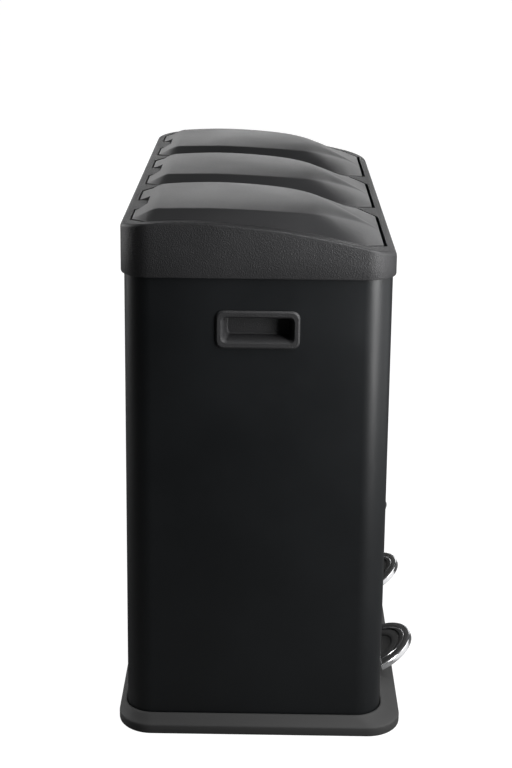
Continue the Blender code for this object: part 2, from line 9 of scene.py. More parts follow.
import bmesh
import bpy
import numpy as np
from bpy.props import FloatProperty, FloatVectorProperty, PointerProperty
from mathutils import Matrix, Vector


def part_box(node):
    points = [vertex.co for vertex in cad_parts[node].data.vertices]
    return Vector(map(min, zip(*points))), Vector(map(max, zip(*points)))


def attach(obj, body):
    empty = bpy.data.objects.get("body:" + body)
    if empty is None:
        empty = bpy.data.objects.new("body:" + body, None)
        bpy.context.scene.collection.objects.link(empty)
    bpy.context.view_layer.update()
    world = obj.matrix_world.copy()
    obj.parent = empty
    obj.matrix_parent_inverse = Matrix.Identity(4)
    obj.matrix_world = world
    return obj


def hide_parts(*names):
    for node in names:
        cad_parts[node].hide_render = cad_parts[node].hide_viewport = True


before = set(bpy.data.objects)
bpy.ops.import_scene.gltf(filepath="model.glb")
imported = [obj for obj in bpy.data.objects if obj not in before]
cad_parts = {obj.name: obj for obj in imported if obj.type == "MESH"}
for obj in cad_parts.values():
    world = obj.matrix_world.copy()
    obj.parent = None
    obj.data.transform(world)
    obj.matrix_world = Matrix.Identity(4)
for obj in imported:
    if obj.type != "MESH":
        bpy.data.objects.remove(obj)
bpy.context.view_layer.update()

bl_info = {
    "name": "Sorting bin looks",
    "version": (1, 0, 0),
    "blender": (4, 5, 0),
    "location": "3D View > Sidebar > Sorting Bin",
    "description": "Finished surfaces and materials of a three-compartment step-on bin",
    "category": "Object",
}

# ---- Places read from the frame -------------------------------------------------------
SIDES = {"left": -1, "middle": 0, "right": 1}
BODY_LOW, BODY_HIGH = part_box("body_shell")
BASE_LOW, BASE_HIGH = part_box("base_tray")
COLLAR_LOW, COLLAR_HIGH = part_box("collar_frame")
LID_LOW, LID_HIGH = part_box("lid_middle")
PLAN_Y = (BODY_LOW.y + BODY_HIGH.y) / 2          # the plan's zero, in the frame
PITCH = (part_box("lid_right")[0].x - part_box("lid_left")[0].x) / 2

# Half sizes in plan are outside sizes; y values are in the plan, z values from the floor
BODY_HALF = (BODY_HIGH.x, (BODY_HIGH.y - BODY_LOW.y) / 2)
BODY_CORNER = 0.0315
SLOT_HALF, SLOT_LOW, SLOT_TOP = 0.0155, 0.0172, 0.0510      # a lever's slot in the body
GRIP_Z = 0.4975
GRIP_HOLE = (0.0420, 0.0160)                                # half sizes of the hole for a grip cup

BASE_HALF = (BASE_HIGH.x, (BASE_HIGH.y - BASE_LOW.y) / 2)
BASE_CENTRE_Y = (BASE_HIGH.y + BASE_LOW.y) / 2 - PLAN_Y
BASE_CORNER = 0.041
LIP_FRONT, LIP_REAR = -0.1625, -0.150       # the skirt's lip is lowered between them at each lever
LIP_LOWERED = SLOT_LOW - 0.0004

COLLAR_HALF = (COLLAR_HIGH.x, (COLLAR_HIGH.y - COLLAR_LOW.y) / 2)
COLLAR_CORNER = 0.0345
COLLAR_BOTTOM = COLLAR_LOW.z
COLLAR_WALL = 0.0025
GROOVE_IN, GROOVE_TOP = 0.0062, 0.5765      # groove in the underside that the sheet stands in
DECK_LOW, DECK_TOP = 0.562, 0.565           # ledge inside the collar that carries the buckets
CROWN_Y, CROWN_Z = 0.062, 0.6206            # highest line of the arched top

LID_HALF_X = (LID_HIGH.x - LID_LOW.x) / 2
LID_FRONT, LID_REAR = LID_LOW.y - PLAN_Y, LID_HIGH.y - PLAN_Y
OPENING_HALF_X, OPENING_FRONT, OPENING_REAR = 0.1006, -0.145, 0.145
PIN_Y, PIN_Z = 0.1375, 0.6125
# A corner cut reaches this far across and this far along
LID_FRONT_CUT, LID_REAR_CUT = (0.0240, 0.0210), (0.0215, 0.0185)
OPENING_FRONT_CUT, OPENING_REAR_CUT = (0.0245, 0.0230), (0.0183, 0.0158)
OPENING_FRONT_CUT_END = OPENING_FRONT + OPENING_FRONT_CUT[1]
TAB_FRONT, TAB_HALF, TAB_SPREAD = 0.1325, 0.0185, 0.0075    # hinge tab and its widening to the rear
MOUTH_HALF, MOUTH_CUT = 0.0925, 0.018       # hole in the deck for a bucket, and its front corners' cut
NOTCH_FRONT, NOTCH_HALF = 0.1300, 0.0208    # notch in the lid round the hinge tab
NOTCH_FLARE = 0.0100 / 0.014                # how fast each side of it opens to the rear
SKIRT_WALL = 0.0022
# Both ends of a knuckle and both faces of the lug are distances along X from the lid's middle
KNUCKLE_ENDS, KNUCKLE_RADIUS, PIN_BORE = (0.0305, 0.0440), 0.0038, 0.0018
LUG_SLOT, LUG_SLOT_HALF, LUG_SLOT_CORNER = (0.1198, 0.6030), (0.0052, 0.0044), 0.0024
LUG_MIDDLE, LUG_ENDS = (0.1190, 0.6070), (-0.0110, -0.0070)
# y, half width of the raised field, height of its crease, rise of its crown
LID_STATIONS = np.array([
    (-0.1410, 0.0040, 0.5886, 0.0000), (-0.1350, 0.0060, 0.5920, 0.0004), (-0.1250, 0.0100, 0.5970, 0.0010),
    (-0.1100, 0.0200, 0.6035, 0.0026), (-0.0950, 0.0330, 0.6093, 0.0044), (-0.0825, 0.0450, 0.6140, 0.0054),
    (-0.0700, 0.0545, 0.6177, 0.0058), (-0.0450, 0.0675, 0.6220, 0.0052), (-0.0200, 0.0735, 0.6246, 0.0044),
    (0.0050, 0.0760, 0.6264, 0.0040), (0.0300, 0.0770, 0.6277, 0.0034), (0.0550, 0.0768, 0.6284, 0.0030),
    (0.0800, 0.0758, 0.6281, 0.0025), (0.1050, 0.0735, 0.6272, 0.0020), (0.1130, 0.0722, 0.6268, 0.0018)])

PEDAL_TILT = math.radians(25.8)
PEDAL_CENTRE = (-0.1479, 0.0501)            # y and z of the half-round plate's centre
PEDAL_HALF = (0.0517, 0.0507)
RING_HALF = (0.0385, 0.0435)
RIM_REAR, PAD_REAR, RING_REAR = 0.0073, 0.0098, 0.0112      # straight rear edges of the three
LEVER_GATE = 0.0126                         # half width of the gap in the rim that the lever enters by


# ---- Sizes and colours a user would change --------------------------------------------
def length(name, description, default):
    """A size in metres."""
    return FloatProperty(name=name, description=description, default=default,
                         min=0.0, unit="LENGTH", precision=5)


def colour(name, description, default):
    """A base colour as linear red, green and blue."""
    return FloatVectorProperty(name=name, description=description, default=default,
                               subtype="COLOR", size=3, min=0.0, max=1.0)


class BinSizes(bpy.types.PropertyGroup):
    """Sizes of the finished surfaces."""
    sheet: length("Sheet", "Thickness of the body's steel sheet", 0.001)
    lid_skin: length("Lid skin", "Wall thickness of the lids", 0.0025)
    lid_skirt: length("Lid skirt", "Depth of the skirt round each lid", 0.009)
    notch_skirt: length("Notch skirt", "Depth of the skirt round the lid's notch", 0.0045)
    lid_edge: length("Lid edge", "Rounding of the lid's outer edge", 0.0010)
    end_fillet: length("End fillet", "Rounding of the collar's top edge at both ends", 0.0022)
    front_fillet: length("Front fillet", "Rounding of the collar's top edge in front", 0.0095)
    rear_fillet: length("Rear fillet", "Rounding of the collar's top edge at the rear", 0.0060)
    opening_edge: length("Opening edge", "Rounding of the edge round each lid opening", 0.0005)
    grip_edge: length("Grip edge", "Rounding of the grip cup's edges", 0.0007)
    chrome_edge: length("Chrome edge", "Rounding of the pedal rim's upper edge", 0.0011)


class BinColours(bpy.types.PropertyGroup):
    """Base colours of the finishes."""
    coat: colour("Powder coat", "Steel body", (0.0030, 0.0038, 0.0046))
    collar: colour("Grained plastic", "Collar and grip cups", (0.014, 0.014, 0.015))
    base: colour("Base plastic", "Skirt under the body", (0.007, 0.008, 0.009))
    lid: colour("Lid plastic", "Lids", (0.022, 0.022, 0.023))
    rubber: colour("Rubber", "Pedal pads", (0.022, 0.022, 0.022))
    bucket: colour("Bucket plastic", "Lift-out buckets", (0.085, 0.088, 0.092))


# ---- Points and faces -------------------------------------------------------------------
def ease(value):
    """Smooth step from 0 to 1: three times the square less twice the cube."""
    value = np.clip(value, 0.0, 1.0)
    return value * value * (3 - 2 * value)


def grid_quads(rows, columns, wrap=False, keep=None):
    """Quads between neighbouring rows and columns of points that are counted row by row."""
    row = np.arange(rows - 1)[:, None]
    column = np.arange(columns if wrap else columns - 1)[None, :]
    beside = (column + 1) % columns
    quads = np.stack([row * columns + column, row * columns + beside,
                      (row + 1) * columns + beside, (row + 1) * columns + column], axis=-1)
    return quads.reshape(-1, 4) if keep is None else quads[keep]


def open_edges(quads):
    """Directed edges that only one of the quads uses."""
    edges = np.concatenate([quads[:, [k, (k + 1) % 4]] for k in range(4)])
    _, index, count = np.unique(np.sort(edges, axis=1), axis=0, return_index=True, return_counts=True)
    return edges[index[count == 1]]


def band(edges, level_a, level_b, count):
    """Quads that join the same edges on two levels of a stack of equal grids."""
    a, b = edges[:, 0], edges[:, 1]
    return np.stack([b + level_a * count, a + level_a * count,
                     a + level_b * count, b + level_b * count], axis=-1)


def between(anchors, parts):
    """Columns that divide each gap between neighbouring anchors into equal parts, row by row."""
    columns = [anchors[:, :1]]
    for index, part in enumerate(parts):
        share = np.arange(1, part + 1) / part
        start, end = anchors[:, index:index + 1], anchors[:, index + 1:index + 2]
        columns.append(start + (end - start) * share)
    return np.concatenate(columns, axis=1)


def loft(sections):
    """Points and faces of a skin over closed sections of equal count, ends closed by flat faces."""
    sections = np.asarray(sections)
    rows, columns = sections.shape[:2]
    faces = grid_quads(rows, columns, wrap=True).tolist()
    faces.append(list(range(columns))[::-1])
    faces.append(list(range((rows - 1) * columns, rows * columns)))
    return sections.reshape(-1, 3), faces


def loft_ring(sections):
    """Points and faces of a skin over closed sections, the last one joined to the first."""
    sections = np.asarray(sections)
    rows, columns = sections.shape[:2]
    first = np.arange(columns)
    beside, last = np.roll(first, -1), (rows - 1) * columns
    closing = np.stack([first + last, beside + last, beside, first], axis=-1)
    return sections.reshape(-1, 3), np.concatenate([grid_quads(rows, columns, wrap=True), closing])


def in_plan(outline, height):
    """An (x, y) outline at a height."""
    return np.column_stack([outline, np.broadcast_to(height, len(outline))])


def rounded_samples(core_x, core_y, stops_x=(), stops_y=(), *, steps):
    """Core points and outward directions round a rectangle whose corners are arcs.

    A point of any outline of the family is its core point plus a radius times its direction.
    Stops are further points on the straight sides, and steps divide each corner's arc.
    """
    quarter = np.linspace(0, math.pi / 2, steps + 1)
    stops_x, stops_y = np.asarray(stops_x, float), np.asarray(stops_y, float)
    cores, turns = [], []
    corners = ((1, 1), (-1, 1), (-1, -1), (1, -1))
    for turn, (sx, sy) in enumerate(corners):
        if turn % 2 == 0:
            side = np.column_stack([np.full(len(stops_y), sx * core_x), sx * stops_y])
        else:
            side = np.column_stack([sx * -stops_x, np.full(len(stops_x), sy * core_y)])[::-1]
        angle = turn * math.pi / 2
        cores += [side, np.tile([sx * core_x, sy * core_y], (steps + 1, 1))]
        turns += [np.full(len(side), angle), quarter + angle]
    angles = np.concatenate(turns)
    return np.concatenate(cores), np.column_stack([np.cos(angles), np.sin(angles)])


def rounded_rectangle(half_x, half_y, radius, centre, steps=8):
    """Outline round a centre: core points plus the corner radius times their directions."""
    core, out = rounded_samples(half_x - radius, half_y - radius, steps=steps)
    return core + out * radius + np.asarray(centre)


def side_stops(core, places, margin=0.0015):
    """Stops on a straight side: just inside both ends and at the given places."""
    return np.array(sorted([-core + margin, core - margin, *places]))


def passage_stops(upright=0.0002):
    """Both edges of each lever's passage, each doubled so that its wall stands upright."""
    stops = []
    for turn in SIDES.values():
        for hand in (-1, 1):
            stops += [turn * PITCH + hand * SLOT_HALF, turn * PITCH + hand * (SLOT_HALF + upright)]
    return stops


def from_nearest_lever(x):
    """Distance along X to the nearest lever's middle."""
    return np.min([abs(x - turn * PITCH) for turn in SIDES.values()], axis=0)


# ---- Making objects ---------------------------------------------------------------------
CRISP_ANGLE = math.radians(35)              # an edge that turns further than this is shaded sharp


def make_piece(name, points, faces, material, body, slot, replaced=(), modifiers=()):
    """A finished mesh object at the origin that rides on a body of the frame."""
    points = np.array(points, float)
    points[:, 1] += PLAN_Y
    mesh = bpy.data.meshes.new(name)
    mesh.from_pydata(points.tolist(), [], [list(face) for face in faces])
    work = bmesh.new()
    work.from_mesh(mesh)
    bmesh.ops.remove_doubles(work, verts=work.verts, dist=1e-6)
    bmesh.ops.delete(work, geom=[v for v in work.verts if not v.link_faces], context="VERTS")
    bmesh.ops.recalc_face_normals(work, faces=work.faces)
    work.to_mesh(mesh)
    work.free()
    mesh.shade_smooth()
    mesh.set_sharp_from_angle(angle=CRISP_ANGLE)
    mesh.materials.append(material)
    piece = bpy.data.objects.new(name, mesh)
    bpy.context.scene.collection.objects.link(piece)
    for kind, values in modifiers:
        modifier = piece.modifiers.new(kind.lower(), kind)
        for key, value in values.items():
            setattr(modifier, key, value)
    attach(piece, body)
    if replaced:
        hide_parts(*replaced)
    return piece


def wall(thickness):
    """Solidify settings of a sheet whose points are on its outer side."""
    return "SOLIDIFY", {"thickness": thickness, "offset": -1.0, "use_even_offset": True}


def rounded_edges(width, segments=3, angle=40):
    """Bevel settings that round every edge sharper than the angle."""
    return "BEVEL", {"width": width, "segments": segments, "limit_method": "ANGLE",
                     "angle_limit": math.radians(angle), "harden_normals": True}


def split_edges():
    """Edge split settings that keep cut edges crisp after the sheet gets its thickness."""
    return "EDGE_SPLIT", {"split_angle": CRISP_ANGLE}


# ---- Shader node groups -----------------------------------------------------------------
def new_group(name, inputs, outputs):
    """A shader node group with named sockets; returns its tree and its two end nodes."""
    tree = bpy.data.node_groups.new(name, "ShaderNodeTree")
    for label, kind, default in inputs:
        socket = tree.interface.new_socket(name=label, in_out="INPUT", socket_type=kind)
        if default is not None:
            socket.default_value = default
    for label, kind in outputs:
        tree.interface.new_socket(name=label, in_out="OUTPUT", socket_type=kind)
    return tree, tree.nodes.new("NodeGroupInput"), tree.nodes.new("NodeGroupOutput")


def noise(tree, vector, scale, detail):
    """Fractal noise from 0 to 1; the scale may be a number or a socket."""
    node = tree.nodes.new("ShaderNodeTexNoise")
    node.inputs["Detail"].default_value = detail
    node.inputs["Roughness"].default_value = 0.55
    tree.links.new(vector, node.inputs["Vector"])
    if isinstance(scale, (int, float)):
        node.inputs["Scale"].default_value = scale
    else:
        tree.links.new(scale, node.inputs["Scale"])
    return node.outputs["Fac"]


def remap(tree, value, low, high, to_low, to_high):
    """Stretch a value's range; the new ends may be numbers or sockets."""
    node = tree.nodes.new("ShaderNodeMapRange")
    node.interpolation_type = "SMOOTHSTEP"
    tree.links.new(value, node.inputs["Value"])
    ends = {"From Min": low, "From Max": high, "To Min": to_low, "To Max": to_high}
    for label, end in ends.items():
        if isinstance(end, (int, float)):
            node.inputs[label].default_value = end
        else:
            tree.links.new(end, node.inputs[label])
    return node.outputs["Result"]


def mix_colour(tree, factor, a, b):
    """Blend of two colours: a where the factor is 0, b where it is 1."""
    node = tree.nodes.new("ShaderNodeMix")
    node.data_type = "RGBA"
    tree.links.new(factor, node.inputs["Factor"])
    tree.links.new(a, node.inputs["A"])
    tree.links.new(b, node.inputs["B"])
    return node.outputs["Result"]


def make_variation_group():
    """Slow drift of colour and gloss over a surface, with fine settled dust in patches."""
    tree, start, end = new_group(
        "Finish variation",
        [("Vector", "NodeSocketVector", None), ("Colour", "NodeSocketColor", (0.1, 0.1, 0.1, 1)),
         ("Tint", "NodeSocketColor", (0.12, 0.12, 0.12, 1)), ("Scale", "NodeSocketFloat", 9.0),
         ("Gloss Low", "NodeSocketFloat", 0.4), ("Gloss High", "NodeSocketFloat", 0.5)],
        [("Colour", "NodeSocketColor"), ("Roughness", "NodeSocketFloat")])
    drift = noise(tree, start.outputs["Vector"], start.outputs["Scale"], 4.0)
    fine = noise(tree, start.outputs["Vector"], 420.0, 2.0)
    share = remap(tree, drift, 0.35, 0.70, 0.0, 1.0)
    tree.links.new(mix_colour(tree, share, start.outputs["Colour"], start.outputs["Tint"]),
                   end.inputs["Colour"])
    both = tree.nodes.new("ShaderNodeMath")
    both.operation = "MULTIPLY_ADD"
    both.inputs[1].default_value = 0.35
    tree.links.new(fine, both.inputs[0])
    tree.links.new(drift, both.inputs[2])
    gloss = remap(tree, both.outputs[0], 0.45, 0.95,
                  start.outputs["Gloss Low"], start.outputs["Gloss High"])
    tree.links.new(gloss, end.inputs["Roughness"])
    return tree


def make_grain_group():
    """Moulded leather-like grain: cell pattern over fine noise, as a height from 0 to 1."""
    tree, start, end = new_group(
        "Moulded grain",
        [("Vector", "NodeSocketVector", None), ("Scale", "NodeSocketFloat", 900.0),
         ("Fine", "NodeSocketFloat", 2600.0)],
        [("Height", "NodeSocketFloat")])
    cells = tree.nodes.new("ShaderNodeTexVoronoi")
    cells.feature = "SMOOTH_F1"
    tree.links.new(start.outputs["Vector"], cells.inputs["Vector"])
    tree.links.new(start.outputs["Scale"], cells.inputs["Scale"])
    fine = noise(tree, start.outputs["Vector"], start.outputs["Fine"], 2.0)
    blend = tree.nodes.new("ShaderNodeMath")
    blend.operation = "MULTIPLY_ADD"
    blend.inputs[1].default_value = 0.5
    tree.links.new(fine, blend.inputs[0])
    tree.links.new(cells.outputs["Distance"], blend.inputs[2])
    tree.links.new(blend.outputs[0], end.inputs["Height"])
    return tree


GROUPS = {}


def group_tree(maker):
    """The node group that a maker function builds, built the first time it is asked for."""
    if maker not in GROUPS:
        GROUPS[maker] = maker()
    return GROUPS[maker]


def add_group(tree, maker, vector, **values):
    """Place a node group in a material and set its inputs; _ stands for a space in their names."""
    node = tree.nodes.new("ShaderNodeGroup")
    node.node_tree = group_tree(maker)
    tree.links.new(vector, node.inputs["Vector"])
    for label, value in values.items():
        node.inputs[label.replace("_", " ")].default_value = value
    return node


# ---- Materials --------------------------------------------------------------------------
def make_finish(name, tone, tint, gloss, grain=None, scale=9.0, metallic=0.0, specular=0.5):
    """Principled finish: drifting colour and gloss, and a moulded or sprayed grain as bump.

    gloss is the range of roughness, grain is (cell scale, fine scale, strength, depth in metres).
    """
    if name in bpy.data.materials:
        return bpy.data.materials[name]
    material = bpy.data.materials.new(name)
    material.use_nodes = True
    tree = material.node_tree
    shader = tree.nodes["Principled BSDF"]
    place = tree.nodes.new("ShaderNodeTexCoord").outputs["Object"]
    varied = add_group(tree, make_variation_group, place, Colour=(*tone, 1), Tint=(*tint, 1),
                       Scale=scale, Gloss_Low=gloss[0], Gloss_High=gloss[1])
    tree.links.new(varied.outputs["Colour"], shader.inputs["Base Color"])
    tree.links.new(varied.outputs["Roughness"], shader.inputs["Roughness"])
    shader.inputs["Metallic"].default_value = metallic
    shader.inputs["Specular IOR Level"].default_value = specular
    if grain:
        cell, fine, strength, depth = grain
        height = add_group(tree, make_grain_group, place, Scale=cell, Fine=fine)
        bump = tree.nodes.new("ShaderNodeBump")
        bump.inputs["Strength"].default_value = strength
        bump.inputs["Distance"].default_value = depth
        tree.links.new(height.outputs["Height"], bump.inputs["Height"])
        tree.links.new(bump.outputs["Normal"], shader.inputs["Normal"])
    return material


def lighter(tone, factor):
    """The tone times a factor, kept within white."""
    return tuple(min(1.0, channel * factor) for channel in tone)


def powder_coat():
    """Sprayed black coat of the steel body, with a fine and shallow grain."""
    tone = bpy.context.scene.bin_colours.coat
    return make_finish("black_powder_coat", tone, lighter(tone, 1.25), (0.40, 0.46),
                       (1500.0, 3200.0, 0.12, 0.0002))


def grained_plastic():
    """Coarse moulded grain of the collar and the grip cups."""
    tone = bpy.context.scene.bin_colours.collar
    return make_finish("grained_plastic", tone, lighter(tone, 1.25), (0.50, 0.60),
                       (850.0, 2400.0, 0.80, 0.0004))


def base_plastic():
    """Dull plastic of the skirt, with little reflection."""
    tone = bpy.context.scene.bin_colours.base
    return make_finish("base_plastic", tone, lighter(tone, 1.2), (0.42, 0.50),
                       (1200.0, 2800.0, 0.25, 0.0003), specular=0.3)


def lid_plastic():
    """Satin plastic of the lids, nearly smooth."""
    tone = bpy.context.scene.bin_colours.lid
    return make_finish("satin_lid_plastic", tone, lighter(tone, 1.15), (0.42, 0.50),
                       (1600.0, 3600.0, 0.15, 0.0002))


def bucket_plastic():
    """Grey plastic of the lift-out buckets."""
    tone = bpy.context.scene.bin_colours.bucket
    return make_finish("bucket_plastic", tone, lighter(tone, 1.2), (0.38, 0.48),
                       (1300.0, 3000.0, 0.12, 0.0002))


def pad_rubber():
    """Matt rubber of the pedal pads."""
    tone = bpy.context.scene.bin_colours.rubber
    return make_finish("pad_rubber", tone, lighter(tone, 1.3), (0.55, 0.65),
                       (1400.0, 3000.0, 0.30, 0.0003))


def foot_rubber():
    """Darker and duller rubber of the feet."""
    tone = bpy.context.scene.bin_colours.rubber
    return make_finish("foot_rubber", lighter(tone, 0.8), tone, (0.7, 0.8),
                       (900.0, 2500.0, 0.30, 0.0003))


def chrome_plate():
    """Bright chrome of the pedal rims and rings, without grain."""
    return make_finish("chrome_plate", (0.74, 0.74, 0.75), (0.68, 0.68, 0.70), (0.15, 0.20),
                       scale=30.0, metallic=1.0)


def zinc_plate():
    """Zinc on the hidden steel parts, slightly clouded and yellowed."""
    return make_finish("zinc_plate", (0.50, 0.50, 0.51), (0.62, 0.61, 0.58), (0.26, 0.42),
                       (700.0, 2200.0, 0.08, 0.0002), scale=60.0, metallic=1.0)


# ---- Body -------------------------------------------------------------------------------
def body_surface():
    """Sheet wrap: core point plus corner radius times direction, at every row of heights.

    Cells inside the two grip holes and the three lever slots are left out.
    """
    core = (BODY_HALF[0] - BODY_CORNER, BODY_HALF[1] - BODY_CORNER)
    slots = [turn * PITCH + hand * SLOT_HALF for turn in SIDES.values() for hand in (-1, 1)]
    hole_y, hole_z = GRIP_HOLE
    points, out = rounded_samples(
        *core, side_stops(core[0], slots), side_stops(core[1], (-hole_y, hole_y)), steps=16)
    outline = points + out * BODY_CORNER
    plain = (0.15, 0.25, 0.35)
    heights = np.array([BODY_LOW.z, SLOT_LOW, SLOT_TOP, *plain, GRIP_Z - hole_z, GRIP_Z + hole_z,
                        BODY_HIGH.z])
    rows, columns = len(heights), len(outline)
    middle = (outline + np.roll(outline, -1, axis=0)) / 2
    level = ((heights[:-1] + heights[1:]) / 2)[:, None]
    in_grip = (abs(middle[:, 0]) > core[0]) & (abs(middle[:, 1]) < hole_y)
    in_slot = (middle[:, 1] < -core[1]) & (from_nearest_lever(middle[:, 0]) < SLOT_HALF)
    keep = ~(in_grip[None, :] & (abs(level - GRIP_Z) < hole_z))
    keep &= ~(in_slot[None, :] & (level > SLOT_LOW) & (level < SLOT_TOP))
    grid = np.concatenate([in_plan(outline, height) for height in heights])
    return grid, grid_quads(rows, columns, wrap=True, keep=keep)


# ---- Base -------------------------------------------------------------------------------
def base_surface():
    """Skirt: each row of its profile slides from the base's own outline to the body's outline.

    A row is (share of the body's outline, distance outside the outline, height); where a
    lever passes, the lip is lowered to the bottom of its slot.
    """
    own = (BASE_HALF[0] - BASE_CORNER, BASE_HALF[1] - BASE_CORNER)
    body = (BODY_HALF[0] - BODY_CORNER, BODY_HALF[1] - BODY_CORNER)
    samples = [rounded_samples(*core, side_stops(core[0], passage_stops()), side_stops(core[1], ()),
                               steps=16) for core in (own, body)]
    (own_core, own_out), (body_core, body_out) = samples
    profile = (
        (0, -0.0030, 0.0008), (0, -0.0014, 0.0008), (0, -0.0007, 0.0010), (0, -0.0002, 0.0016),
        (0, 0.0, 0.0026), (0, 0.0, 0.0104), (0, -0.0003, 0.0117), (0, -0.0010, 0.0125),
        (0, -0.0020, 0.0132), (0.5, 0.0008, 0.0170), (1, 0.0044, 0.0207), (1, 0.0034, 0.0215),
        (1, 0.0024, 0.0220), (1, 0.0016, 0.0220), (1, 0.0010, 0.0216), (1, 0.0008, 0.0209),
        (1, 0.0008, 0.0120), (1, -0.0060, 0.0120), (1, -0.0060, 0.0045),
    )
    sections = []
    for share, grow, height in profile:
        at_own = own_core + own_out * (BASE_CORNER + grow) + [0.0, BASE_CENTRE_Y]
        at_body = body_core + body_out * (BODY_CORNER + grow)
        outline = at_own + (at_body - at_own) * share
        at_lip = (outline[:, 1] > LIP_FRONT) & (outline[:, 1] < LIP_REAR)
        passing = at_lip & (from_nearest_lever(outline[:, 0]) < SLOT_HALF + 0.0001)
        lowered = np.where(passing, np.minimum(height, LIP_LOWERED), height)
        sections.append(in_plan(outline, lowered))
    return loft(sections)


# ---- Collar -----------------------------------------------------------------------------
def collar_top(y):
    """Arched top: nearly straight slope in front of the crown line, steeper at both ends.

    The crown's height less a line that starts softly at the crown, less a power of the way
    past a front line, less the square of the way past a rear line.
    """
    slope, softness = 0.100, 0.015
    front_line, front_drop, front_power = -0.020, 0.208, 1.35
    rear_line, rear_drop = 0.072, 0.95
    ahead = CROWN_Y - y
    line = slope * (np.hypot(ahead, softness) + ahead) / 2
    front = front_drop * np.maximum(front_line - y, 0.0) ** front_power
    rear = rear_drop * np.maximum(y - rear_line, 0.0) ** 2
    return CROWN_Z - line - front - rear


def front_share(y):
    """How far into the cut of an opening's front corners: 0 behind the cut, 1 at the front."""
    return np.clip((OPENING_FRONT_CUT_END - y) / OPENING_FRONT_CUT[1], 0, 1)


def opening_half(y):
    """Half width of a lid opening at y, less where its corners are cut."""
    rear_cut = OPENING_REAR_CUT[0] * np.clip((y - OPENING_REAR) / OPENING_REAR_CUT[1] + 1, 0, 1)
    return OPENING_HALF_X - OPENING_FRONT_CUT[0] * front_share(y) - rear_cut


def tab_half(y):
    """Half width of the hinge tab, from its front to the opening's rear edge."""
    return TAB_HALF + TAB_SPREAD * np.clip((y - TAB_FRONT) / (OPENING_REAR - TAB_FRONT), 0, 1)


def collar_rows(sizes):
    """Rows of the top plate, front to rear: y, half length, angle of the end, radius of the fillet.

    Round a corner the radius eases from the end's fillet to the front's or the rear's, and the
    plate's edge stays that radius inside the outer wall.
    """
    core_x, core_y = COLLAR_HALF[0] - COLLAR_CORNER, COLLAR_HALF[1] - COLLAR_CORNER
    angle = np.linspace(0, math.pi / 2, 91)
    tables = {}
    for hand, fillet in ((-1, sizes.front_fillet), (1, sizes.rear_fillet)):
        radius = sizes.end_fillet + (fillet - sizes.end_fillet) * ease(angle / (math.pi / 2))
        inset = COLLAR_CORNER - radius
        tables[hand] = (core_y + inset * np.sin(angle), core_x + inset * np.cos(angle), radius)
    front, rear = -tables[-1][0][::6], tables[1][0][::6]
    features = [OPENING_FRONT, OPENING_FRONT_CUT_END, OPENING_REAR - OPENING_REAR_CUT[1], TAB_FRONT,
                OPENING_REAR]
    rows = np.concatenate([front, rear, np.linspace(-core_y, core_y, 44), features])
    rows = np.unique(rows.round(6))
    ends, turns, radii = [], [], []
    for y in rows:
        reach, half, radius = tables[-1 if y < 0 else 1]
        ends.append(np.interp(abs(y), reach, half))
        turns.append(np.interp(abs(y), reach, angle) * (1 if y > 0 else -1))
        radii.append(np.interp(abs(y), reach, radius))
    return rows, np.array(ends), np.array(turns), np.array(radii)


